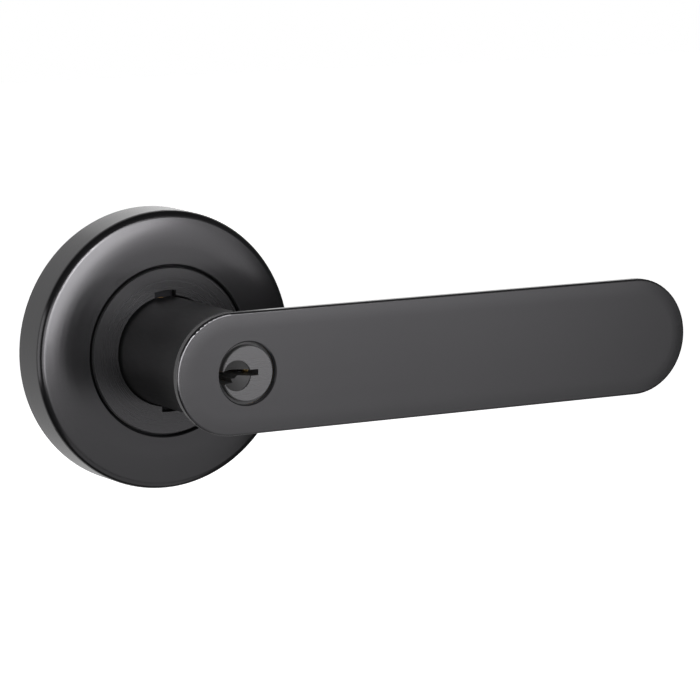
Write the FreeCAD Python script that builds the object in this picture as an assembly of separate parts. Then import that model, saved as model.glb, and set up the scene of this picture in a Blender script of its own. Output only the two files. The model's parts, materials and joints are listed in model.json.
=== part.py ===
import FreeCAD, Part
import math
import os

# Keyed lever handle for the outer side of a door. Millimetres.
# Y is the spindle's axis: y = 0 is the face of the door, -Y is the side the hand is on,
# and +Y goes into the door. X runs along the lever, Z is up.
V = FreeCAD.Vector
ORIGIN = V(0, 0, 0)
ALONG_X = V(1, 0, 0)
ALONG_Y = V(0, 1, 0)
ALONG_Z = V(0, 0, 1)

# Rose: a turned cover, 65 mm across, over a standard 54 mm hole.
ROSE_RADIUS = 32.5
ROSE_DEPTH = 11.4
ROSE_WALL = 1.5
ROSE_BORE = 19.95
ROSE_FRONT_RADIUS = 32.4
EDGE_ROUND = 1.9
FACE_WIDTH = 6.5
FACE_DROP = 0.51

# Collar: the separate disc in the middle of the rose, with two notches for the release tool.
COLLAR_RADIUS = 19.5
COLLAR_FRONT = -11.5
COLLAR_BACK = -9.5
COLLAR_BORE = 12.85
COLLAR_CHAMFER = 0.3
NOTCH_WIDTH = 5.5
NOTCH_RADIUS = 14.2
NOTCH_TURN = -3.2

# Mounting plate, and the boss that centres it in the hole of the door.
PLATE_RADIUS = 30.6
PLATE_FRONT = -2.5
BOSS_RADIUS = 26.8
BOSS_DEPTH = 4.0
SNAP_Y = -1.25
SNAP_RADIUS = 30.6
SNAP_WIRE = 0.55
POST_OFFSET = 19.0
POST_RADIUS = 4.0
POST_BORE = 2.1
POST_END = 28.0

# Spring cassette, bolted to the plate.
CASSETTE_RADIUS = 26.0
CASSETTE_WALL = 2.0
CASSETTE_FRONT = -9.4
CHAMBER_FRONT = -7.6
CASSETTE_SCREW_RADIUS = 27.2
COLLAR_SCREW_RADIUS = 16.3
STOP_RADIUS = 16.2
STOP_ANGLE = 59.5
SCREW_SHANK = 1.25

# Return spring: one leg in the cassette, the other in the driver.
SPRING_RADIUS = 20.5
SPRING_WIRE = 0.7
SPRING_PITCH = 1.5
SPRING_TURNS = 2.25
SPRING_START = -6.8
LEG_BEND = 1.6
ARM_ANGLE = -95.7

# Drive sleeve, its bushes and what it carries.
SLEEVE_RADIUS = 10.9
SLEEVE_BORE = 9.4
SLEEVE_FRONT = -24.0
SLEEVE_BACK = 7.4
SLEEVE_FLAT = 10.3
RUNNING_GAP = 0.05
CIRCLIP_Y = 5.4
CIRCLIP_WIDTH = 1.0
CARRIER_FRONT = -15.0
CARRIER_BACK = -7.0
SPINDLE_SIDE = 7.9
SPINDLE_BORE = 2.9
SPINDLE_FRONT = -13.4
SPINDLE_BACK = 44.0
SPINDLE_PIN_Y = -12.5
CATCH_TURN = NOTCH_TURN
CATCH_FRONT = -11.2
CATCH_BACK = -9.95
CATCH_REACH = 12.4

# Lever: a flat paddle with a crowned back, on a round neck.
PADDLE_FRONT = -50.2
PADDLE_BACK = -43.7
PADDLE_EDGE = 2.0
PADDLE_HALF = 13.75
PADDLE_LEFT = -3.7
PADDLE_RIGHT = 103.6
FRONT_ROUND = 0.55
EASE_WIDTH = 3.0
EASE_DROP = 0.09
BACK_ROUND = 0.5
NECK_BACK = -9.75
NECK_RADIUS = 12.55
NECK_FLARE_START = -40.0
NECK_FLARE_RADIUS = 13.55
LIP_BACK = -49.05
LIP_BORE = 7.05
LIP_CHAMFER = 0.25

# Key cylinder, 12.7 mm plug with five pins in a row on the +X side.
HOUSING_RADIUS = 8.6
HOUSING_FRONT = -49.0
HOUSING_BACK = -22.0
BIBLE_REACH = 11.05
BIBLE_HALF = 3.1
BIBLE_FRONT = -46.8
BIBLE_BACK = -25.0
PLUG_RADIUS = 6.35
NOSE_RADIUS = 6.3
FLANGE_RADIUS = 7.1
FLANGE_FRONT = -48.7
FLANGE_BACK = -47.9
PLUG_BACK = -19.8
TAIL_RADIUS = 4.4
TAIL_BACK = -17.0
CLIP_Y = -21.7
CLIP_WIDTH = 0.7
FINGER_RECESS = (-2.7, -0.3)
FINGER_RECESS_RADIUS = 3.45
FINGER_RECESS_WALL = 0.45
FINGER_RECESS_DEPTH = 2.3
FINGER_RECESS_FLOOR = 1.1
KEYWAY_TOP = 0.78
KEYWAY_END = 2.6
PIN_YS = [-44.0, -40.0, -36.0, -32.0, -28.0]
PIN_TIPS = [1.75, 2.75, 1.35, 2.35, 1.95]
PIN_RADIUS = 1.4
PIN_BORE = 1.45
PIN_FLOOR = 1.0
DRIVER_START = 6.42
DRIVER_LENGTH = 2.2
COVER_X = 10.6
TAILPIECE_WIDTH = 5.0
TAILPIECE_THICKNESS = 1.5
TAILPIECE_BACK = 50.0


def rod(radius, y0, y1, x=0.0, z=0.0):
    """Round bar along Y."""
    return Part.makeCylinder(radius, y1 - y0, V(x, y0, z), ALONG_Y)


def ring(bore, radius, y0, y1):
    """Round tube along Y."""
    return rod(radius, y0, y1).cut(rod(bore, y0, y1))


def block(x0, x1, y0, y1, z0, z1):
    """Rectangular block between two corners."""
    return Part.makeBox(x1 - x0, y1 - y0, z1 - z0, V(x0, y0, z0))


def pin_bar(radius, x0, x1, y):
    """Round bar along X, at one of the cylinder's pin places."""
    return Part.makeCylinder(radius, x1 - x0, V(x0, y, 0), ALONG_X)


def turned_about_y(shape, degrees):
    """The same shape, turned about the spindle's axis."""
    return shape.rotated(ORIGIN, ALONG_Y, degrees)


def outline(start, *steps):
    """Flat face in the XY plane. A step is the next point, or (via, end) for an arc."""
    edges = []
    here = V(start[0], start[1], 0)
    for step in steps + (start,):
        if isinstance(step[0], tuple):
            via = V(step[0][0], step[0][1], 0)
            end = V(step[1][0], step[1][1], 0)
            edges.append(Part.Arc(here, via, end).toShape())
        else:
            end = V(step[0], step[1], 0)
            edges.append(Part.LineSegment(here, end).toShape())
        here = end
    return Part.Face(Part.Wire(edges))


def turned(face, degrees=360):
    """Solid of revolution of an outline of (radius, y) points."""
    return face.revolve(ORIGIN, ALONG_Y, degrees)


def on_circle(centre, radius, degrees):
    """Point on a circle of the (radius, y) plane. 0 is outward, -90 is to the front."""
    angle = math.radians(degrees)
    return (centre[0] + radius * math.cos(angle), centre[1] + radius * math.sin(angle))


def eased_edge(outer, front, width, drop, edge_round):
    """Steps of an outline from a straight side, round its corner, to a flat front.

    Between the round corner and the flat, the front falls away by drop over width.
    """
    bow = (width ** 2 + drop ** 2) / (2 * drop)
    fall = math.degrees(math.asin(width / bow))
    flat_end = outer - edge_round - (bow - edge_round) * width / bow
    centre = (flat_end, front + bow)
    corner = on_circle(centre, bow - edge_round, fall - 90)
    return [
        (outer, corner[1]),
        (on_circle(corner, edge_round, (fall - 90) / 2), on_circle(corner, edge_round, fall - 90)),
        (on_circle(centre, bow, fall / 2 - 90), (flat_end, front))]


def polar(radius, degrees):
    """X and Z of a point round the spindle's axis. 0 is +X, 90 is up."""
    angle = math.radians(degrees)
    return radius * math.cos(angle), radius * math.sin(angle)


def coil(radius, wire, pitch, turns):
    """Round wire wound along +Z from the origin's plane."""
    helix = Part.makeHelix(pitch, pitch * turns, radius)
    lead = V(0, 2 * math.pi * radius, pitch)
    profile = Part.Wire(Part.makeCircle(wire, V(radius, 0, 0), lead))
    return Part.Wire(helix).makePipeShell([profile], True, True)


def screw(head_radius, head_y, under_head_y, end_y, x, z):
    """Pan-head screw with a cross recess, head to the -Y side or the +Y side."""
    low, high = sorted((head_y, under_head_y))
    head = rod(head_radius, low, high, x, z)
    low, high = sorted((under_head_y, end_y))
    shank = rod(SCREW_SHANK, low, high, x, z)
    depth = 0.6 * (under_head_y - head_y)
    low, high = sorted((head_y, head_y + depth))
    slot = 0.6 * head_radius
    cross = block(x - slot, x + slot, low, high, z - 0.3, z + 0.3)
    cross = cross.fuse(block(x - 0.3, x + 0.3, low, high, z - slot, z + slot))
    return head.fuse(shank).cut(cross)


def rose_cover():
    """Turned cup with a flat face that falls away to a rounded rim."""
    edge = eased_edge(ROSE_FRONT_RADIUS, -ROSE_DEPTH, FACE_WIDTH, FACE_DROP, EDGE_ROUND)
    flat_end = edge[-1][1][0]
    inner = ROSE_FRONT_RADIUS - ROSE_WALL
    inner_round = 0.5
    back = ROSE_WALL - ROSE_DEPTH
    face = outline(
        (ROSE_RADIUS, 0), *edge,
        (ROSE_BORE + 0.25, -ROSE_DEPTH), (ROSE_BORE, 0.25 - ROSE_DEPTH), (ROSE_BORE, back),
        (flat_end, back), (inner - inner_round, back + FACE_DROP),
        (inner, back + FACE_DROP + inner_round), (ROSE_RADIUS - ROSE_WALL, 0))
    groove = ring(SNAP_RADIUS, SNAP_RADIUS + 0.65, SNAP_Y - 0.65, SNAP_Y + 0.65)
    return turned(face).cut(groove)


def collar_ring():
    """Disc round the neck, level with the rose, with a notch at its top and bottom."""
    face = outline(
        (COLLAR_BORE, COLLAR_BACK), (COLLAR_RADIUS, COLLAR_BACK),
        (COLLAR_RADIUS, COLLAR_FRONT + COLLAR_CHAMFER),
        (COLLAR_RADIUS - COLLAR_CHAMFER, COLLAR_FRONT),
        (COLLAR_BORE + 0.15, COLLAR_FRONT), (COLLAR_BORE, COLLAR_FRONT + 0.15))
    disc = turned(face)
    half = NOTCH_WIDTH / 2
    notch = block(-half, half, COLLAR_FRONT - 1, COLLAR_BACK + 1, -NOTCH_RADIUS, NOTCH_RADIUS)
    disc = disc.cut(turned_about_y(notch.common(rod(NOTCH_RADIUS, -20, 0)), NOTCH_TURN))
    for degrees in (30, 150, 270):
        x, z = polar(COLLAR_SCREW_RADIUS, degrees)
        disc = disc.cut(rod(SCREW_SHANK + 0.05, COLLAR_BACK - 1.3, COLLAR_BACK, x, z))
    return disc


def collar_screws():
    """Three screws from inside the cassette into the back of the collar."""
    screws = []
    for degrees in (30, 150, 270):
        x, z = polar(COLLAR_SCREW_RADIUS, degrees)
        screws.append(screw(2.2, CHAMBER_FRONT - 0.1, -8.5, COLLAR_BACK - 1.2, x, z))
    return Part.makeCompound(screws)


def cassette_body():
    """Cup that holds the return spring, with ears for its screws and stops for the driver."""
    side = ring(CASSETTE_RADIUS - CASSETTE_WALL, CASSETTE_RADIUS, CHAMBER_FRONT, PLATE_FRONT)
    body = side.fuse(rod(CASSETTE_RADIUS, CASSETTE_FRONT, CHAMBER_FRONT))
    for degrees in (45, 135, 225, 315):
        x, z = polar(CASSETTE_SCREW_RADIUS, degrees)
        ear = rod(2.8, -7.0, PLATE_FRONT, x, z)
        body = body.fuse(ear.cut(rod(CASSETTE_RADIUS - CASSETTE_WALL, -7.0, PLATE_FRONT)))
    for degrees in (45, 135, 225, 315):
        x, z = polar(CASSETTE_SCREW_RADIUS, degrees)
        body = body.cut(rod(SCREW_SHANK + 0.05, -8.0, PLATE_FRONT, x, z))
        body = body.cut(rod(2.4, CASSETTE_FRONT, -7.0, x, z))
    for degrees in (30, 150, 270):
        x, z = polar(COLLAR_SCREW_RADIUS, degrees)
        body = body.cut(rod(SCREW_SHANK + 0.05, CASSETTE_FRONT, CHAMBER_FRONT, x, z))
        body = body.cut(rod(2.3, -8.5, CHAMBER_FRONT, x, z))
    for side_of in (-1, 1):
        x, z = polar(STOP_RADIUS, ARM_ANGLE + side_of * STOP_ANGLE)
        body = body.fuse(rod(1.6, CHAMBER_FRONT, -3.2, x, z))
    body = body.cut(rod(SLEEVE_RADIUS + 1.5, CASSETTE_FRONT, CHAMBER_FRONT))
    leg_slot = block(SPRING_RADIUS, CASSETTE_RADIUS, CHAMBER_FRONT, -6.0,
                     LEG_BEND - 0.8, LEG_BEND + 0.8)
    return body.cut(leg_slot)


def cassette_screws():
    """Four screws that hold the cassette on the mounting plate."""
    screws = []
    for degrees in (45, 135, 225, 315):
        x, z = polar(CASSETTE_SCREW_RADIUS, degrees)
        screws.append(screw(2.2, -8.4, -7.0, -0.4, x, z))
    return Part.makeCompound(screws)


def mounting_plate():
    """Plate behind the rose, with a ribbed boss that fits the hole of the door."""
    plate = rod(PLATE_RADIUS, PLATE_FRONT, 0).fuse(rod(BOSS_RADIUS, 0, BOSS_DEPTH))
    pocket = ring(16.0, 24.8, 1.0, BOSS_DEPTH)
    for z in (-POST_OFFSET, POST_OFFSET):
        pocket = pocket.cut(rod(5.6, 0, BOSS_DEPTH, 0, z))
    pocket = pocket.cut(block(-30, 30, 0, BOSS_DEPTH, -1.5, 1.5))
    plate = plate.cut(pocket)
    for z in (-POST_OFFSET, POST_OFFSET):
        plate = plate.cut(rod(3.05, PLATE_FRONT, BOSS_DEPTH, 0, z))
    for degrees in (45, 135, 225, 315):
        x, z = polar(CASSETTE_SCREW_RADIUS, degrees)
        plate = plate.cut(rod(SCREW_SHANK + 0.05, PLATE_FRONT, -0.3, x, z))
    plate = plate.cut(rod(SLEEVE_RADIUS + 1.75, PLATE_FRONT, BOSS_DEPTH))
    groove = ring(SNAP_RADIUS - 0.65, PLATE_RADIUS, SNAP_Y - 0.6, SNAP_Y + 0.6)
    return plate.cut(groove)


def mounting_post(z):
    """Riveted post with the thread for the screw that comes through the door."""
    stem = rod(3.0, PLATE_FRONT, BOSS_DEPTH, 0, z)
    tube = Part.makeCylinder(POST_RADIUS, POST_END - BOSS_DEPTH - 0.5, V(0, BOSS_DEPTH, z), ALONG_Y)
    tip = Part.makeCone(POST_RADIUS, POST_RADIUS - 0.5, 0.5, V(0, POST_END - 0.5, z), ALONG_Y)
    bore = rod(POST_BORE, BOSS_DEPTH + 4, POST_END, 0, z)
    return stem.fuse(tube).fuse(tip).cut(bore)


def cover_snap_ring():
    """Open wire ring, in the plate's groove, that the rose cover snaps over."""
    section = Part.Face(Part.Wire(Part.makeCircle(SNAP_WIRE, V(0, SNAP_Y, SNAP_RADIUS), ALONG_X)))
    return turned_about_y(section.revolve(ORIGIN, ALONG_Y, 330), 195)


def front_bush():
    """Bush in the cassette, with a flange inside it."""
    bore = SLEEVE_RADIUS + RUNNING_GAP
    return ring(bore, SLEEVE_RADIUS + 1.45, CASSETTE_FRONT, CHAMBER_FRONT).fuse(
        ring(bore, SLEEVE_RADIUS + 2.7, CHAMBER_FRONT, -7.0))


def rear_bush():
    """Bush in the mounting plate, with a flange behind it."""
    bore = SLEEVE_RADIUS + RUNNING_GAP
    return ring(bore, SLEEVE_RADIUS + 1.7, PLATE_FRONT, BOSS_DEPTH).fuse(
        ring(bore, SLEEVE_RADIUS + 3.1, BOSS_DEPTH, BOSS_DEPTH + 0.8))


def return_spring():
    """Torsion spring that brings the lever level again after a turn either way."""
    r, bend, start = SPRING_RADIUS, LEG_BEND, SPRING_START
    end = start + SPRING_PITCH * SPRING_TURNS
    near = bend * (1 - math.sqrt(0.5))
    leg_end = V(r + 5.0, start, bend)
    helix = Part.makeHelix(SPRING_PITCH, SPRING_PITCH * SPRING_TURNS, r)
    helix.rotate(ORIGIN, ALONG_X, -90)
    helix.translate(V(0, start, 0))
    path = [
        Part.LineSegment(leg_end, V(r + bend, start, bend)).toShape(),
        Part.Arc(V(r + bend, start, bend), V(r + near, start, bend - near),
                 V(r, start, 0)).toShape()]
    path += helix.Edges
    path += [
        Part.Arc(V(0, end, -r), V(near - bend, end, near - r), V(-bend, end, bend - r)).toShape(),
        Part.LineSegment(V(-bend, end, bend - r), V(-bend, end, 4.6 - r)).toShape()]
    section = Part.Wire(Part.makeCircle(SPRING_WIRE, leg_end, ALONG_X))
    return Part.Wire(path).makePipeShell([section], True, True)


def paddle():
    """Bar with round ends, a flat front with eased edges and a crowned back."""
    sagitta = PADDLE_BACK - PADDLE_FRONT - PADDLE_EDGE
    crown = (PADDLE_HALF ** 2 + sagitta ** 2) / (2 * sagitta)
    centre = (0, PADDLE_BACK - crown)
    rise = math.sqrt((crown - BACK_ROUND) ** 2 - (PADDLE_HALF - BACK_ROUND) ** 2)
    back = (PADDLE_HALF - BACK_ROUND, centre[1] + rise)
    lean = math.degrees(math.atan2(rise, back[0]))
    half = outline(
        (0, PADDLE_FRONT), (0, PADDLE_BACK),
        (on_circle(centre, crown, (lean + 90) / 2), on_circle(back, BACK_ROUND, lean)),
        (on_circle(back, BACK_ROUND, lean / 2), (PADDLE_HALF, back[1])),
        *eased_edge(PADDLE_HALF, PADDLE_FRONT, EASE_WIDTH, EASE_DROP, FRONT_ROUND))
    upper = turned_about_y(half, -90)
    lower = turned_about_y(half, 90)
    length = V(PADDLE_RIGHT - PADDLE_LEFT, 0, 0)
    right_end = upper.revolve(ORIGIN, ALONG_Y, 180)
    left_end = lower.revolve(ORIGIN, ALONG_Y, 180)
    right_end.translate(length)
    bar = upper.extrude(length).fuse([lower.extrude(length), left_end, right_end])
    bar.translate(V(PADDLE_LEFT, 0, 0))
    return bar.removeSplitter()


def neck():
    """Round neck that widens a little where it runs into the paddle."""
    end = PADDLE_FRONT + PADDLE_EDGE
    run = NECK_FLARE_START - end
    rise = NECK_FLARE_RADIUS - NECK_RADIUS
    sweep = (run ** 2 + rise ** 2) / (2 * rise)
    middle = math.degrees(math.asin(run / sweep)) / 2
    via = on_circle((NECK_RADIUS + sweep, NECK_FLARE_START), sweep, 180 + middle)
    return turned(outline(
        (0, end), (0, NECK_BACK), (NECK_RADIUS - 0.3, NECK_BACK),
        (NECK_RADIUS, NECK_BACK - 0.3), (NECK_RADIUS, NECK_FLARE_START),
        (via, (NECK_FLARE_RADIUS, end))))


def lever_handle():
    """Paddle and neck in one casting, hollow for the key cylinder and the drive sleeve."""
    lever = neck().fuse(paddle()).removeSplitter()
    lever = lever.cut(rod(HOUSING_RADIUS + 0.15, LIP_BACK, NECK_BACK))
    lever = lever.cut(rod(SLEEVE_RADIUS + RUNNING_GAP, BIBLE_BACK, NECK_BACK))
    lever = lever.cut(block(0, BIBLE_REACH + 0.15, BIBLE_FRONT - 0.2, NECK_BACK,
                            -BIBLE_HALF - 0.2, BIBLE_HALF + 0.2))
    lever = lever.cut(block(-11.8, 0, -22.2, NECK_BACK, -1.3, 1.3))
    window = block(-1.6, 1.6, CATCH_FRONT - 0.15, NECK_BACK, SLEEVE_BORE, NECK_RADIUS + 1)
    lever = lever.cut(turned_about_y(window, CATCH_TURN))
    lever = lever.cut(rod(LIP_BORE, PADDLE_FRONT, LIP_BACK))
    return lever.cut(Part.makeCone(LIP_BORE + LIP_CHAMFER, LIP_BORE, LIP_CHAMFER,
                                   V(0, PADDLE_FRONT, 0), ALONG_Y))


def drive_sleeve():
    """Tube that carries the lever, with two keys, flats for the driver and a clip groove."""
    sleeve = rod(SLEEVE_RADIUS, SLEEVE_FRONT, SLEEVE_BACK)
    sleeve = sleeve.fuse(block(0, BIBLE_REACH, -23.9, -9.9, -BIBLE_HALF, BIBLE_HALF))
    sleeve = sleeve.fuse(block(-11.7, 0, -22.0, -9.9, -1.2, 1.2))
    sleeve = sleeve.cut(rod(SLEEVE_BORE, SLEEVE_FRONT, SLEEVE_BACK))
    for side in (-1, 1):
        low, high = sorted((side * SLEEVE_FLAT, side * 12.0))
        sleeve = sleeve.cut(block(-12, 12, -6.9, SLEEVE_BACK, low, high))
    sleeve = sleeve.cut(ring(10.2, 12.0, CIRCLIP_Y, CIRCLIP_Y + CIRCLIP_WIDTH))
    window = block(-1.65, 1.65, CATCH_FRONT - 0.1, CATCH_BACK + 0.1, 8.0, 12.0)
    sleeve = sleeve.cut(turned_about_y(window, CATCH_TURN))
    pin_hole = Part.makeCylinder(1.05, 4.0, V(0, SPINDLE_PIN_Y, -12.0), ALONG_Z)
    return sleeve.cut(pin_hole)


def spring_driver():
    """Ring on the sleeve's flats, with the arm that winds the return spring."""
    front, back = -6.6, -2.85
    arm = block(-LEG_BEND - 2.2, 2.2 - LEG_BEND, -5.9, back, -18.6, 0)
    driver = rod(13.8, front, back).fuse(arm)
    bore = rod(SLEEVE_RADIUS + RUNNING_GAP, front, back)
    flat = SLEEVE_FLAT + RUNNING_GAP
    driver = driver.cut(bore.common(block(-12, 12, front, back, -flat, flat)))
    return driver.cut(block(-LEG_BEND - 0.8, 0.8 - LEG_BEND, -4.3, back, -18.6, -15.6))


def thrust_washer():
    """Washer between the rear bush and the circlip."""
    return ring(SLEEVE_RADIUS + RUNNING_GAP, 14.0, BOSS_DEPTH + 0.85, BOSS_DEPTH + 1.3)


def circlip():
    """Open clip with two eyes, in the sleeve's groove."""
    low, high = CIRCLIP_Y + 0.05, CIRCLIP_Y + CIRCLIP_WIDTH - 0.05
    clip = ring(10.25, 12.4, low, high)
    for x in (-2.6, 2.6):
        clip = clip.fuse(rod(1.7, low, high, x, 12.6))
    clip = clip.cut(block(-1.2, 1.2, low, high, 9.0, 15.0)).cut(rod(10.25, low, high))
    for x in (-2.6, 2.6):
        clip = clip.cut(rod(0.7, low, high, x, 12.8))
    return clip


def spindle_carrier():
    """Block inside the sleeve, with a square hole for the spindle and a pocket for the catch."""
    carrier = rod(SLEEVE_BORE - 0.05, CARRIER_FRONT, CARRIER_BACK)
    half = SPINDLE_SIDE / 2 + 0.05
    carrier = carrier.cut(block(-half, half, SPINDLE_FRONT - 0.1, CARRIER_BACK, -half, half))
    carrier = carrier.cut(rod(SPINDLE_BORE + 0.1, CARRIER_FRONT, CARRIER_BACK))
    pocket = block(-2.15, 2.15, CATCH_FRONT - 0.3, CATCH_BACK + 0.3, 4.9, SLEEVE_BORE)
    carrier = carrier.cut(turned_about_y(pocket, CATCH_TURN))
    return carrier.cut(Part.makeCylinder(1.05, 6.0, V(0, SPINDLE_PIN_Y, -9.6), ALONG_Z))


def spindle():
    """Square bar, bored for the tailpiece, that turns the latch."""
    half = SPINDLE_SIDE / 2
    bar = block(-half, half, SPINDLE_FRONT, SPINDLE_BACK, -half, half)
    bar = bar.common(Part.makeCone(60, half + 0.9, 60 - half - 0.9,
                                   V(0, SPINDLE_BACK - 60 + half + 0.9, 0), ALONG_Y))
    bar = bar.cut(rod(SPINDLE_BORE, SPINDLE_FRONT, SPINDLE_BACK))
    return bar.cut(Part.makeCylinder(1.05, 1.5, V(0, SPINDLE_PIN_Y, -half - 0.5), ALONG_Z))


def spindle_pin():
    """Pin that holds the spindle in its carrier."""
    return Part.makeCylinder(1.0, 7.6, V(0, SPINDLE_PIN_Y, -10.8), ALONG_Z)


def lever_catch():
    """Sprung catch that keeps the lever on the sleeve until a tool pushes it in."""
    foot = block(-2.0, 2.0, CATCH_FRONT - 0.1, CATCH_BACK + 0.1, 7.5, 8.9)
    nub = block(-1.45, 1.45, CATCH_FRONT, CATCH_BACK, 8.0, CATCH_REACH)
    return turned_about_y(foot.fuse(nub), CATCH_TURN)


def catch_spring():
    """Small spring that pushes the catch outward."""
    spring = coil(0.75, 0.13, 0.74, 3.0)
    spring.translate(V(0, (CATCH_FRONT + CATCH_BACK) / 2, 5.1))
    return turned_about_y(spring, CATCH_TURN)


def cylinder_body():
    """Barrel of the key cylinder, with the bible that holds the driver pins."""
    body = rod(HOUSING_RADIUS, HOUSING_FRONT, HOUSING_BACK)
    body = body.fuse(block(0, BIBLE_REACH, BIBLE_FRONT, BIBLE_BACK, -BIBLE_HALF, BIBLE_HALF))
    body = body.cut(rod(PLUG_RADIUS + RUNNING_GAP, HOUSING_FRONT, HOUSING_BACK))
    body = body.cut(rod(FLANGE_RADIUS + 0.3, HOUSING_FRONT, FLANGE_BACK + 0.3))
    for y in PIN_YS:
        body = body.cut(pin_bar(PIN_BORE, 0, BIBLE_REACH, y))
    return body.cut(block(COVER_X, BIBLE_REACH, -46.0, -26.0, -1.9, 1.9))


def chamber_cover():
    """Strip that closes the row of pin chambers."""
    return block(COVER_X + 0.02, BIBLE_REACH - 0.05, -45.95, -26.05, -1.85, 1.85)


def cylinder_retainer():
    """Washer between the key cylinder and the end of the drive sleeve."""
    washer = ring(HOUSING_RADIUS + 0.15, SLEEVE_RADIUS - 0.05, BIBLE_BACK + 0.1, SLEEVE_FRONT - 0.05)
    tab = block(SLEEVE_RADIUS - 0.6, BIBLE_REACH, BIBLE_BACK + 0.1, SLEEVE_FRONT - 0.05,
                -BIBLE_HALF, BIBLE_HALF)
    return washer.fuse(tab)


def keyway():
    """Slot for the key's blade, open at the -X side, with a wider step for its spine."""
    points = [(-8.0, KEYWAY_TOP), (KEYWAY_END, KEYWAY_TOP), (KEYWAY_END, -0.6), (-1.5, -0.6),
              (-2.2, -1.3), (-3.0, -1.3), (-3.0, -2.1), (-8.0, -2.1), (-8.0, KEYWAY_TOP)]
    wire = Part.makePolygon([V(x, PADDLE_FRONT, z) for x, z in points])
    return Part.Face(wire).extrude(V(0, 27.5, 0))


def cylinder_plug():
    """Plug that the key turns, with its keyway, five pin bores and a slotted tail."""
    nose = turned(outline(
        (0, PADDLE_FRONT), (NOSE_RADIUS - 0.2, PADDLE_FRONT), (NOSE_RADIUS, PADDLE_FRONT + 0.2),
        (NOSE_RADIUS, FLANGE_FRONT), (FLANGE_RADIUS, FLANGE_FRONT), (FLANGE_RADIUS, FLANGE_BACK),
        (PLUG_RADIUS, FLANGE_BACK), (PLUG_RADIUS, PLUG_BACK), (TAIL_RADIUS, PLUG_BACK),
        (TAIL_RADIUS, TAIL_BACK), (0, TAIL_BACK)))
    x, z = FINGER_RECESS
    recess = rod(FINGER_RECESS_RADIUS, PADDLE_FRONT, PADDLE_FRONT + FINGER_RECESS_WALL, x, z)
    recess = recess.fuse(Part.makeCone(
        FINGER_RECESS_RADIUS, FINGER_RECESS_FLOOR, FINGER_RECESS_DEPTH - FINGER_RECESS_WALL,
        V(x, PADDLE_FRONT + FINGER_RECESS_WALL, z), ALONG_Y))
    plug = nose.cut(recess).cut(keyway())
    for y in PIN_YS:
        plug = plug.cut(pin_bar(PIN_BORE, PIN_FLOOR, FLANGE_RADIUS, y))
    plug = plug.cut(ring(5.3, PLUG_RADIUS, CLIP_Y, CLIP_Y + CLIP_WIDTH))
    slot = TAILPIECE_WIDTH / 2 + 0.05
    plug = plug.cut(block(-slot, slot, TAIL_BACK - 2.1, TAIL_BACK, -0.8, 0.8))
    return plug.cut(Part.makeCylinder(0.55, 12.0, V(0, TAIL_BACK - 1.0, -6.0), ALONG_Z))


def plug_clip():
    """Open clip that holds the plug in the barrel."""
    clip = ring(5.35, 7.4, CLIP_Y + 0.05, CLIP_Y + CLIP_WIDTH - 0.05)
    return clip.cut(block(0, 9, CLIP_Y, CLIP_Y + CLIP_WIDTH, -3.6, 3.6))


def tailpiece():
    """Flat bar from the plug through the spindle."""
    half = TAILPIECE_WIDTH / 2
    thick = TAILPIECE_THICKNESS / 2
    points = [(-half, TAIL_BACK - 2.0), (half, TAIL_BACK - 2.0), (half, TAILPIECE_BACK - 1.0),
              (half - 1.0, TAILPIECE_BACK), (1.0 - half, TAILPIECE_BACK),
              (-half, TAILPIECE_BACK - 1.0), (-half, TAIL_BACK - 2.0)]
    wire = Part.makePolygon([V(x, y, -thick) for x, y in points])
    bar = Part.Face(wire).extrude(V(0, 0, TAILPIECE_THICKNESS))
    return bar.cut(Part.makeCylinder(0.55, 4.0, V(0, TAIL_BACK - 1.0, -2.0), ALONG_Z))


def tailpiece_pin():
    """Cross pin that holds the tailpiece in the plug's tail."""
    return Part.makeCylinder(0.5, 8.2, V(0, TAIL_BACK - 1.0, -4.1), ALONG_Z)


def key_pin(y, tip):
    """Pin with a pointed end, of the length that lifts it level with the plug's surface."""
    taper = 0.9
    point = Part.makeCone(0.45, PIN_RADIUS, taper, V(tip, y, 0), ALONG_X)
    pin = point.fuse(pin_bar(PIN_RADIUS, tip + taper, PLUG_RADIUS, y))
    return pin.common(rod(PLUG_RADIUS - 0.05, y - 3, y + 3))


def driver_pin(y):
    """Flat-ended pin above a key pin."""
    edge = 0.25
    end = DRIVER_START + DRIVER_LENGTH
    first = Part.makeCone(PIN_RADIUS - edge, PIN_RADIUS, edge, V(DRIVER_START, y, 0), ALONG_X)
    last = Part.makeCone(PIN_RADIUS, PIN_RADIUS - edge, edge, V(end - edge, y, 0), ALONG_X)
    return first.fuse(pin_bar(PIN_RADIUS, DRIVER_START + edge, end - edge, y)).fuse(last)


def driver_spring(y):
    """Spring between a driver pin and the chamber cover."""
    wire = 0.17
    turns = 3.0
    start = DRIVER_START + DRIVER_LENGTH + wire + 0.02
    length = COVER_X - wire - 0.02 - start
    spring = coil(1.0, wire, length / turns, turns)
    spring.rotate(ORIGIN, ALONG_Y, 90)
    spring.translate(V(start, y, 0))
    return spring


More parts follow.
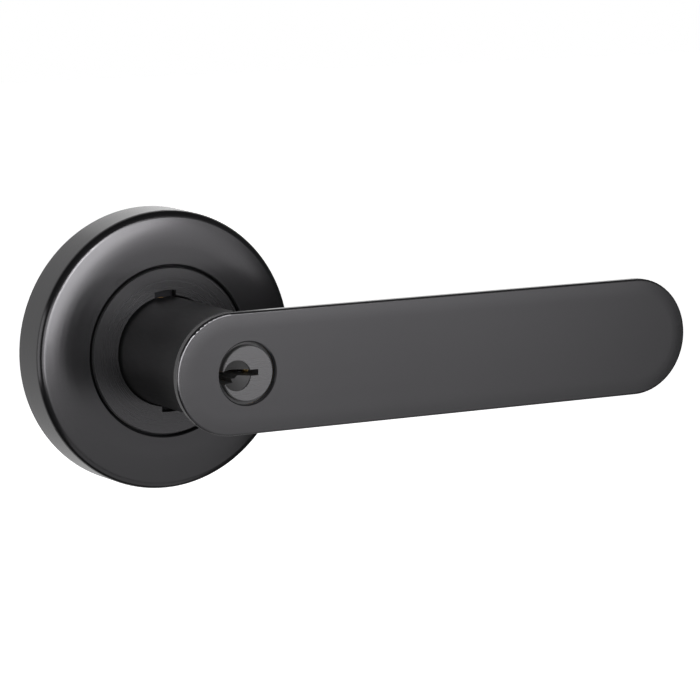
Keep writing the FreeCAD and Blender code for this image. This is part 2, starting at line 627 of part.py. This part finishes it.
def all_parts():
    """Every part of the handle, by name."""
    parts = {
        "rose_cover": rose_cover(),
        "collar_ring": collar_ring(),
        "collar_screws": collar_screws(),
        "cassette_body": cassette_body(),
        "cassette_screws": cassette_screws(),
        "mounting_plate": mounting_plate(),
        "mounting_post_top": mounting_post(POST_OFFSET),
        "mounting_post_bottom": mounting_post(-POST_OFFSET),
        "cover_snap_ring": cover_snap_ring(),
        "front_bush": front_bush(),
        "rear_bush": rear_bush(),
        "return_spring": return_spring(),
        "lever_handle": lever_handle(),
        "drive_sleeve": drive_sleeve(),
        "spring_driver": spring_driver(),
        "thrust_washer": thrust_washer(),
        "circlip": circlip(),
        "spindle_carrier": spindle_carrier(),
        "spindle": spindle(),
        "spindle_pin": spindle_pin(),
        "lever_catch": lever_catch(),
        "catch_spring": catch_spring(),
        "cylinder_body": cylinder_body(),
        "chamber_cover": chamber_cover(),
        "cylinder_retainer": cylinder_retainer(),
        "cylinder_plug": cylinder_plug(),
        "plug_clip": plug_clip(),
        "tailpiece": tailpiece(),
        "tailpiece_pin": tailpiece_pin(),
    }
    for number, (y, tip) in enumerate(zip(PIN_YS, PIN_TIPS), 1):
        parts["key_pin_%d" % number] = key_pin(y, tip)
        parts["driver_pin_%d" % number] = driver_pin(y)
        parts["driver_spring_%d" % number] = driver_spring(y)
    return parts


os.makedirs("parts", exist_ok=True)
for name, shape in all_parts().items():
    if not shape.isValid():
        raise ValueError("invalid shape: " + name)
    shape.exportStep("parts/%s.step" % name)
    print("%-22s solids %d  volume %9.1f mm3" % (name, len(shape.Solids), shape.Volume))
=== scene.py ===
import json
import math

import bpy
from mathutils import Euler, Matrix, Vector


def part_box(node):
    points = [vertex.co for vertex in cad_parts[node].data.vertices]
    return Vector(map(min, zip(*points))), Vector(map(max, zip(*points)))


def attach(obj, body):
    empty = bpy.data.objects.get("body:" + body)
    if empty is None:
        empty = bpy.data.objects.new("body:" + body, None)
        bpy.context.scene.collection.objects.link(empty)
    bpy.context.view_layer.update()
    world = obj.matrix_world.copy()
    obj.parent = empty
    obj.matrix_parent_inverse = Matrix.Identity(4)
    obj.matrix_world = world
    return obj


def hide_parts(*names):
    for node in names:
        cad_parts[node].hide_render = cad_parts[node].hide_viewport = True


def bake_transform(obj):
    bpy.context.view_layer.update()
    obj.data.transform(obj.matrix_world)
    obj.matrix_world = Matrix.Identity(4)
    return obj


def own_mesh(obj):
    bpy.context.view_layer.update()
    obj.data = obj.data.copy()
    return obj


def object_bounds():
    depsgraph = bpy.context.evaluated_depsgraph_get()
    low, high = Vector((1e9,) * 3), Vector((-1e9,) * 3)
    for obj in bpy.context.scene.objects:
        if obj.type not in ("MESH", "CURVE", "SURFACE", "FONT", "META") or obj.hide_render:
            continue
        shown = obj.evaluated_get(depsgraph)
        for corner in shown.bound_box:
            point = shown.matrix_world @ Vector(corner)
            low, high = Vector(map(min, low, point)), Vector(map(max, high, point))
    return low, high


# Keyed lever handle. Metres, in the frame's own axes: Y is the spindle's axis and -Y the
# room side, X runs along the lever, Z is up.
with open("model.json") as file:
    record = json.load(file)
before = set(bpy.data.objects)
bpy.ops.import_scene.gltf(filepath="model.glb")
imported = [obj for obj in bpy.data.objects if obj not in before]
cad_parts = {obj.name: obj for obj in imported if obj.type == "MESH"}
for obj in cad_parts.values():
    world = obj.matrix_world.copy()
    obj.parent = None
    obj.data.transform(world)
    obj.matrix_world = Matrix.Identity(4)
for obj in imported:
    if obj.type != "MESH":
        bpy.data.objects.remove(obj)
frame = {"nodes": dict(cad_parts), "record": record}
cad_low, cad_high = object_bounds()
nodes = frame["nodes"]
scene = bpy.context.scene

# Camera: its place, its turn to the right, tilt and roll in degrees, its lens in millimetres.
CAMERA_PLACE = (-0.3474, -0.7068, 0.1179)
CAMERA_TURN = 29.623
CAMERA_TILT = -8.639
CAMERA_ROLL = -0.339
CAMERA_LENS = 175.24
SENSOR = 36.0

# Surroundings. The studio's own light rises from dark to bright with the Y part of its
# direction, which is -1 for the room side and 1 for straight behind the door.
WHITE = (1.0, 1.0, 1.0, 1.0)
BACKDROP_STRENGTH = 1.0
DARK_STUDIO = 0.03
BACK_STUDIO = 0.8
FADE_START = 0.35
FADE_END = 0.8
LIGHT_TARGET = Vector((0.02, -0.03, 0))
FLOOR_DROP = 0.22
FLOOR_SIZE = 8.0
FLOOR_COLOUR = (0.9, 0.9, 0.9)
FLOOR_ROUGHNESS = 0.8
FLOOR_GLOW = 0.9

# Where a coating's smooth front ends, on Y: where the neck leaves the paddle's back, and just
# behind the faces of the plug and the collar. Further back the surface is rougher, and its lower
# specular level is painted shade for the hollows and the neck behind the paddle.
NECK_START = -0.0438
PLUG_INSIDE = -0.0500
COLLAR_INSIDE = -0.0112
ROUGH_AND_SHADE_FADE = 0.0004
# Specular level of the coat further back: painted shade for the hollows and the neck.
SHADED_GLOSS = 0.3
ADDED_ROUGHNESS = 0.2

# Finishes. The marks of brushing and turning are counted per metre, and noise is spread from
# the two values that it mostly lies between.
COAT_TINT = (0.975, 0.955, 1.0, 1.0)
BRUSHING = (14.0, 300.0, 2600.0)
BRUSHING_DEPTH = 0.03
TURNING = 2600.0
TURNING_DEPTH = 0.012
ZINC_WARMTH = (1.08, 1.0, 0.86)
NOISE_LOW = 0.3
NOISE_HIGH = 0.7

# Springs: the same sizes as the solids that they stand for, with their steps to a turn. The
# small ones have a turn more, because a share of their path at each end lies flat.
RETURN_RADIUS = 0.0205
RETURN_WIRE = 0.0007
RETURN_PITCH = 0.0015
RETURN_TURNS = 2.25
RETURN_START = -0.0068
RETURN_BEND = 0.0016
RETURN_LEG = 0.005
RETURN_ARM = 0.0046
RETURN_STEPS = 48
RETURN_SIDES = 12
BEND_STEPS = 6
PIN_COUNT = 5
DRIVER_COIL = 0.001
DRIVER_WIRE = 0.00017
SMALL_TURNS = 3.0
SMALL_STEPS = 24
SMALL_SIDES = 10
CLOSED_TURNS = 1.0
CLOSED_SHARE = 0.1
CATCH_COIL = 0.00075
CATCH_WIRE = 0.00013
CATCH_TURN = -3.2


# ---------------------------------------------------------------- shader helpers

class Shader:
    """A Principled material, with short calls for the nodes that feed it."""

    def __init__(self, name, colour, roughness, metallic=0.0):
        self.material = bpy.data.materials.new(name)
        self.material.use_nodes = True
        self.tree = self.material.node_tree
        self.surface = self.tree.nodes["Principled BSDF"]
        self.surface.inputs["Base Color"].default_value = (*colour, 1.0)
        self.surface.inputs["Roughness"].default_value = roughness
        self.surface.inputs["Metallic"].default_value = metallic
        self.place = self.node("ShaderNodeTexCoord").outputs["Object"]

    def node(self, kind, **settings):
        """A new node with its settings."""
        made = self.tree.nodes.new(kind)
        for name, value in settings.items():
            setattr(made, name, value)
        return made

    def join(self, source, target):
        """Links two sockets, or sets the target to a number."""
        if isinstance(source, (int, float)):
            target.default_value = source
        else:
            self.tree.links.new(source, target)

    def math(self, operation, first, second=0.0):
        """A maths node's result."""
        made = self.node("ShaderNodeMath", operation=operation)
        self.join(first, made.inputs[0])
        self.join(second, made.inputs[1])
        return made.outputs[0]

    def stretched(self, scale):
        """Object coordinates times a scale for each axis."""
        made = self.node("ShaderNodeMapping")
        self.join(self.place, made.inputs["Vector"])
        made.inputs["Scale"].default_value = scale
        return made.outputs["Vector"]

    def noise(self, vector, scale, detail=2.0, roughness=0.5):
        """Noise from 0 to 1."""
        made = self.node("ShaderNodeTexNoise")
        self.join(vector, made.inputs["Vector"])
        made.inputs["Scale"].default_value = scale
        made.inputs["Detail"].default_value = detail
        made.inputs["Roughness"].default_value = roughness
        return made.outputs["Fac"]

    def rings(self, per_metre):
        """Noise that changes only with the distance from the spindle's axis, as turning leaves."""
        parts = self.node("ShaderNodeSeparateXYZ")
        self.join(self.place, parts.inputs[0])
        x, z = parts.outputs["X"], parts.outputs["Z"]
        squared = self.math("ADD", self.math("MULTIPLY", x, x), self.math("MULTIPLY", z, z))
        radius = self.math("MULTIPLY", self.math("SQRT", squared), per_metre)
        line = self.node("ShaderNodeTexNoise", noise_dimensions="1D")
        self.join(radius, line.inputs["W"])
        line.inputs["Scale"].default_value = 1.0
        line.inputs["Detail"].default_value = 3.0
        return line.outputs["Fac"]

    def behind(self, y):
        """0 in front of a plane across the spindle's axis, 1 behind it."""
        parts = self.node("ShaderNodeSeparateXYZ")
        self.join(self.place, parts.inputs[0])
        made = self.node("ShaderNodeMapRange")
        self.join(parts.outputs["Y"], made.inputs["Value"])
        made.inputs["From Min"].default_value = y
        made.inputs["From Max"].default_value = y + ROUGH_AND_SHADE_FADE
        return made.outputs["Result"]

    def spread(self, source, low, high):
        """Noise mapped to a range."""
        made = self.node("ShaderNodeMapRange")
        self.join(source, made.inputs["Value"])
        made.inputs["From Min"].default_value = NOISE_LOW
        made.inputs["From Max"].default_value = NOISE_HIGH
        made.inputs["To Min"].default_value = low
        made.inputs["To Max"].default_value = high
        return made.outputs["Result"]

    def tint(self, source, low, high):
        """A colour between two colours, by noise."""
        made = self.node("ShaderNodeValToRGB")
        self.join(source, made.inputs["Fac"])
        first, last = made.color_ramp.elements
        first.position = NOISE_LOW
        first.color = (*low, 1.0)
        last.position = NOISE_HIGH
        last.color = (*high, 1.0)
        return made.outputs["Color"]

    def bump(self, height, strength, distance, under=None):
        """A bump, on top of another if one is given."""
        made = self.node("ShaderNodeBump")
        self.join(height, made.inputs["Height"])
        made.inputs["Strength"].default_value = strength
        made.inputs["Distance"].default_value = distance
        if under is not None:
            self.join(under, made.inputs["Normal"])
        return made.outputs["Normal"]

    def feed(self, socket, source):
        """Links a value to one of the surface's sockets."""
        self.join(source, self.surface.inputs[socket])


def shade_of(colour, factor):
    """The same colour, lighter or darker."""
    return tuple(c * factor for c in colour)


def black_coat(name, colour, roughness, grain, gloss, inside=None):
    """Satin black coating. grain is "lines" along the lever or "rings" round the axis.

    Further back than inside, on Y, the surface is rougher, and a lower specular level paints shade
    there.
    """
    coat = Shader(name, colour, roughness)
    broad = coat.noise(coat.place, scale=22.0, detail=3.0)
    fine = coat.noise(coat.place, scale=3200.0)
    if grain == "lines":
        marks = coat.noise(coat.stretched(BRUSHING), scale=1.0, detail=4.0, roughness=0.6)
        depth = BRUSHING_DEPTH
    else:
        marks = coat.rings(TURNING)
        depth = TURNING_DEPTH
    coat.feed("Base Color", coat.tint(broad, shade_of(colour, 0.88), shade_of(colour, 1.12)))
    rough = coat.math("ADD", coat.spread(marks, low=-0.02, high=0.02),
                      coat.spread(broad, low=-0.01, high=0.01))
    rough = coat.math("ADD", rough, roughness)
    if inside is not None:
        # Behind inside: the added roughness is real, the lowered specular level is painted shade.
        back = coat.behind(inside)
        painted_shade = coat.math("MULTIPLY", back, gloss - SHADED_GLOSS)
        coat.feed("Specular IOR Level", coat.math("SUBTRACT", gloss, painted_shade))
        rough = coat.math("ADD", rough, coat.math("MULTIPLY", back, ADDED_ROUGHNESS))
    else:
        coat.surface.inputs["Specular IOR Level"].default_value = gloss
    coat.feed("Roughness", rough)
    coat.surface.inputs["Specular Tint"].default_value = COAT_TINT
    peel = coat.bump(fine, strength=0.012, distance=0.00002)
    coat.feed("Normal", coat.bump(marks, strength=depth, distance=0.00001, under=peel))
    return coat.material


def plated_steel(name, colour, roughness):
    """Bright zinc plate or ground steel: cloudy tint, fine scratches up and down."""
    steel = Shader(name, colour, roughness, metallic=1.0)
    cloud = steel.noise(steel.place, scale=160.0, detail=4.0)
    scratch = steel.noise(steel.stretched((900.0, 900.0, 60.0)), scale=1.0, detail=5.0,
                          roughness=0.7)
    warm = tuple(c * warmth for c, warmth in zip(colour, ZINC_WARMTH))
    steel.feed("Base Color", steel.tint(cloud, shade_of(colour, 0.86), warm))
    rough = steel.math("ADD", steel.spread(cloud, low=-0.05, high=0.08),
                       steel.spread(scratch, low=-0.04, high=0.06))
    steel.feed("Roughness", steel.math("ADD", rough, roughness))
    steel.feed("Normal", steel.bump(scratch, strength=0.12, distance=0.00003))
    return steel.material


def turned_metal(name, colour, roughness, marks_per_metre):
    """Brass or bronze with turning marks and a little tarnish."""
    metal = Shader(name, colour, roughness, metallic=1.0)
    stain = metal.noise(metal.place, scale=210.0, detail=4.0)
    marks = metal.rings(marks_per_metre)
    metal.feed("Base Color", metal.tint(stain, shade_of(colour, 0.72), colour))
    rough = metal.math("ADD", metal.spread(stain, low=0.06, high=-0.05),
                       metal.spread(marks, low=-0.04, high=0.04))
    metal.feed("Roughness", metal.math("ADD", rough, roughness))
    metal.feed("Normal", metal.bump(marks, strength=0.15, distance=0.00002))
    return metal.material


def die_casting(name, colour, roughness):
    """Near-black casting, its dark colour painted shade for the notch inside the collar: a grainy
    skin with faint flow marks.
    """
    cast = Shader(name, colour, roughness, metallic=1.0)
    flow = cast.noise(cast.place, scale=90.0, detail=3.0)
    skin = cast.noise(cast.place, scale=1700.0, detail=4.0, roughness=0.6)
    cast.feed("Base Color", cast.tint(flow, shade_of(colour, 0.8), colour))
    cast.feed("Roughness", cast.math("ADD", cast.spread(skin, low=-0.06, high=0.1), roughness))
    cast.feed("Normal", cast.bump(skin, strength=0.25, distance=0.00004))
    return cast.material


def spring_wire(name, colour, roughness):
    """Drawn wire with an oily dark film."""
    wire = Shader(name, colour, roughness, metallic=1.0)
    film = wire.noise(wire.place, scale=420.0, detail=3.0)
    drawn = wire.noise(wire.place, scale=2600.0)
    wire.feed("Base Color", wire.tint(film, shade_of(colour, 0.6), colour))
    wire.feed("Roughness", wire.math("ADD", wire.spread(film, low=-0.08, high=0.1), roughness))
    wire.feed("Normal", wire.bump(drawn, strength=0.1, distance=0.00002))
    return wire.material


# ---------------------------------------------------------------- materials by slot

def make_materials():
    """One material for each of the record's slots."""
    return {
        "rose_black": black_coat(
            "rose_coat", (0.004, 0.004, 0.0042), roughness=0.22, grain="rings", gloss=0.5),
        "collar_black": black_coat(
            "collar_coat", (0.005, 0.005, 0.0052), roughness=0.26, grain="rings", gloss=0.52,
            inside=COLLAR_INSIDE),
        "lever_black": black_coat(
            "lever_coat", (0.005, 0.005, 0.0052), roughness=0.24, grain="lines", gloss=0.64,
            inside=NECK_START),
        "plug_black": black_coat(
            "plug_coat", (0.018, 0.018, 0.018), roughness=0.28, grain="lines", gloss=0.8,
            inside=PLUG_INSIDE),
        "zinc_steel": plated_steel("zinc_plate", (0.62, 0.63, 0.64), roughness=0.3),
        "spring_steel": spring_wire("spring_wire", (0.3, 0.3, 0.31), roughness=0.34),
        "hard_steel": plated_steel("ground_steel", (0.46, 0.46, 0.47), roughness=0.26),
        # Near-black casting colour: painted shade for the deep notch inside the collar.
        "die_cast": die_casting("casting_painted_shade", (0.012, 0.012, 0.013), roughness=0.55),
        "bronze": turned_metal(
            "sintered_bronze", (0.5, 0.31, 0.14), roughness=0.4, marks_per_metre=1500.0),
        "brass": turned_metal(
            "turned_brass", (0.72, 0.5, 0.2), roughness=0.28, marks_per_metre=1900.0),
    }


def dress_nodes(materials):
    """Gives every CAD node its slot's material."""
    for part in frame["record"]["subparts"]:
        node = nodes[part["node"]]
        for slot in node.material_slots:
            slot.material = materials[part["material_slot"]]


# ---------------------------------------------------------------- springs

def wire_mesh(name, path, radius, sides):
    """Round wire along a path of points, closed at both ends."""
    points = [Vector(p) for p in path]
    verts = []
    faces = []
    side = None
    for i, here in enumerate(points):
        ahead = points[min(i + 1, len(points) - 1)] - points[max(i - 1, 0)]
        ahead.normalize()
        side = ahead.orthogonal() if side is None else side - ahead * side.dot(ahead)
        side.normalize()
        other = ahead.cross(side)
        for k in range(sides):
            angle = 2 * math.pi * k / sides
            verts.append(here + (side * math.cos(angle) + other * math.sin(angle)) * radius)
    for i in range(len(points) - 1):
        for k in range(sides):
            corner = i * sides + k
            beside = i * sides + (k + 1) % sides
            faces.append((corner, beside, beside + sides, corner + sides))
    faces.append(tuple(reversed(range(sides))))
    faces.append(tuple(range((len(points) - 1) * sides, len(points) * sides)))
    mesh = bpy.data.meshes.new(name)
    mesh.from_pydata(verts, [], faces)
    mesh.shade_smooth()
    made = bpy.data.objects.new(name, mesh)
    scene.collection.objects.link(made)
    return made


def return_spring(material):
    """Torsion spring: its leg at the front stays with the cassette, the rear one turns."""
    r, bend = RETURN_RADIUS, RETURN_BEND
    end = RETURN_START + RETURN_PITCH * RETURN_TURNS
    path = [(r + RETURN_LEG, RETURN_START, bend)]
    for i in range(BEND_STEPS + 1):
        turn = math.pi / 2 * i / BEND_STEPS
        path.append((r + bend * (1 - math.sin(turn)), RETURN_START, bend * math.cos(turn)))
    steps = int(RETURN_STEPS * RETURN_TURNS)
    for i in range(1, steps):
        turn = 2 * math.pi * RETURN_TURNS * i / steps
        path.append((r * math.cos(turn), RETURN_START + (end - RETURN_START) * i / steps,
                     -r * math.sin(turn)))
    for i in range(BEND_STEPS + 1):
        turn = math.pi / 2 * i / BEND_STEPS
        path.append((-bend * math.sin(turn), end, bend * (1 - math.cos(turn)) - r))
    path.append((-bend, end, RETURN_ARM - r))
    spring = wire_mesh("return_spring_coil", path, RETURN_WIRE, RETURN_SIDES)
    spring.data.materials.append(material)
    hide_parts("return_spring")
    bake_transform(spring)


def straight_coil(name, start, end, radius, wire, turns):
    """Small compression spring between two points, with its last coils closed."""
    start = Vector(start)
    along = Vector(end) - start
    length = along.length
    along.normalize()
    side = along.orthogonal().normalized()
    other = along.cross(side)
    wound = turns + CLOSED_TURNS
    steps = int(SMALL_STEPS * wound)
    path = []
    for i in range(steps + 1):
        share = i / steps
        turn = 2 * math.pi * wound * share
        eased = min(max((share - CLOSED_SHARE) / (1 - 2 * CLOSED_SHARE), 0.0), 1.0)
        place = start + along * (wire + (length - 2 * wire) * eased)
        path.append(place + (side * math.cos(turn) + other * math.sin(turn)) * radius)
    return wire_mesh(name, path, wire, SMALL_SIDES)


def driver_springs(material):
    """The springs over the driver pins."""
    for number in range(1, PIN_COUNT + 1):
        low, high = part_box("driver_spring_%d" % number)
        y = (low.y + high.y) / 2
        spring = straight_coil("driver_coil_%d" % number, (low.x, y, 0), (high.x, y, 0),
                               DRIVER_COIL, DRIVER_WIRE, SMALL_TURNS)
        spring.data.materials.append(material)
        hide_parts("driver_spring_%d" % number)
        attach(spring, "lever")
        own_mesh(spring)


def catch_spring(material):
    """The spring under the lever catch, on the catch's own line."""
    turn = math.radians(CATCH_TURN)
    line = Vector((math.sin(turn), 0, math.cos(turn)))
    low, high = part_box("catch_spring")
    y = (low.y + high.y) / 2
    foot = line * low.z + Vector((0, y, 0))
    top = line * high.z + Vector((0, y, 0))
    spring = straight_coil("catch_coil", foot, top, CATCH_COIL, CATCH_WIRE, SMALL_TURNS)
    spring.data.materials.append(material)
    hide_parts("catch_spring")
    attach(spring, "lever")
    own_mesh(spring)


# ---------------------------------------------------------------- studio

def add_camera():
    """Camera at the viewing angle, a little to the left of the handle and above it."""
    data = bpy.data.cameras.new("camera")
    data.sensor_width = SENSOR
    data.lens = CAMERA_LENS
    data.clip_start = 0.01
    data.clip_end = 20.0
    camera = bpy.data.objects.new("camera", data)
    turn = Euler((math.radians(90 + CAMERA_TILT), 0, math.radians(-CAMERA_TURN))).to_matrix()
    roll = Matrix.Rotation(math.radians(CAMERA_ROLL), 3, "Z")
    camera.matrix_world = Matrix.Translation(CAMERA_PLACE) @ (turn @ roll).to_4x4()
    scene.collection.objects.link(camera)
    scene.camera = camera


def area_light(name, azimuth, elevation, distance, width, height, radiance, roll=0.0):
    """Soft box that faces the handle. Azimuth 0 is the room side, 90 the lever's side."""
    a, e = math.radians(azimuth), math.radians(elevation)
    away = Vector((math.sin(a) * math.cos(e), -math.cos(a) * math.cos(e), math.sin(e)))
    data = bpy.data.lights.new(name, "AREA")
    data.shape = "RECTANGLE"
    data.size = width
    data.size_y = height
    data.energy = radiance * math.pi * width * height
    light = bpy.data.objects.new(name, data)
    light.location = LIGHT_TARGET + away * distance
    facing = away.to_track_quat("Z", "Y").to_matrix()
    facing = facing @ Matrix.Rotation(math.radians(roll), 3, "Z")
    light.rotation_euler = facing.to_euler()
    light.visible_camera = False
    scene.collection.objects.link(light)


def add_lights():
    """Near boxes in front and to the left, fills in front and under, and weaker boxes around.

    The numbers are azimuth, elevation, distance, width, height and radiance.
    """
    area_light("main_box", 1.6, 13, 0.5, 0.36, 0.3, 9.5, roll=39)
    area_light("main_middle", -3, 17, 0.49, 0.16, 0.12, 14.0)
    area_light("right_box", 27, 2, 0.9, 0.38, 0.28, 1.0)
    area_light("front_fill", 10, -10, 0.9, 1.0, 0.95, 0.95)
    area_light("floor_box", 10, -65, 1.0, 1.2, 0.8, 0.8)
    area_light("near_left_box", -22, -2, 0.5, 0.15, 0.24, 8.5)
    area_light("left_box", -40, 0, 0.9, 0.36, 0.6, 3.3)
    area_light("side_box", -101, 0, 1.4, 1.0, 1.0, 2.2)
    area_light("back_box", 150, 12, 1.4, 1.2, 0.9, 0.5)


def add_world():
    """Bright behind the handle and dark elsewhere, but plain white where the camera sees it."""
    world = bpy.data.worlds.new("studio")
    scene.world = world
    world.use_nodes = True
    tree = world.node_tree
    tree.nodes.clear()
    out = tree.nodes.new("ShaderNodeOutputWorld")
    seen = tree.nodes.new("ShaderNodeBackground")
    seen.inputs["Color"].default_value = WHITE
    seen.inputs["Strength"].default_value = BACKDROP_STRENGTH
    around = tree.nodes.new("ShaderNodeBackground")
    around.inputs["Color"].default_value = WHITE
    place = tree.nodes.new("ShaderNodeTexCoord")
    parts = tree.nodes.new("ShaderNodeSeparateXYZ")
    tree.links.new(place.outputs["Generated"], parts.inputs[0])
    fade = tree.nodes.new("ShaderNodeMapRange")
    fade.interpolation_type = "SMOOTHSTEP"
    fade.inputs["From Min"].default_value = FADE_START
    fade.inputs["From Max"].default_value = FADE_END
    fade.inputs["To Min"].default_value = DARK_STUDIO
    fade.inputs["To Max"].default_value = BACK_STUDIO
    tree.links.new(parts.outputs["Y"], fade.inputs["Value"])
    tree.links.new(fade.outputs["Result"], around.inputs["Strength"])
    path = tree.nodes.new("ShaderNodeLightPath")
    mix = tree.nodes.new("ShaderNodeMixShader")
    tree.links.new(path.outputs["Is Camera Ray"], mix.inputs["Fac"])
    tree.links.new(around.outputs[0], mix.inputs[1])
    tree.links.new(seen.outputs[0], mix.inputs[2])
    tree.links.new(mix.outputs[0], out.inputs["Surface"])


def add_floor():
    """Pale floor, well under the handle."""
    half = FLOOR_SIZE / 2
    z = cad_low.z - FLOOR_DROP
    mesh = bpy.data.meshes.new("floor")
    mesh.from_pydata([(-half, -half, z), (half, -half, z), (half, half, z), (-half, half, z)], [],
                     [(0, 1, 2, 3)])
    floor = bpy.data.objects.new("floor", mesh)
    paint = Shader("floor_paint", FLOOR_COLOUR, FLOOR_ROUGHNESS)
    paint.surface.inputs["Emission Color"].default_value = WHITE
    paint.surface.inputs["Emission Strength"].default_value = FLOOR_GLOW
    mesh.materials.append(paint.material)
    # The handle neither reflects the floor nor takes light from it.
    floor.visible_glossy = False
    floor.visible_diffuse = False
    scene.collection.objects.link(floor)


scene.view_settings.view_transform = "Standard"
slot_materials = make_materials()
dress_nodes(slot_materials)
return_spring(slot_materials["spring_steel"])
driver_springs(slot_materials["spring_steel"])
catch_spring(slot_materials["spring_steel"])
add_camera()
add_lights()
add_world()
add_floor()
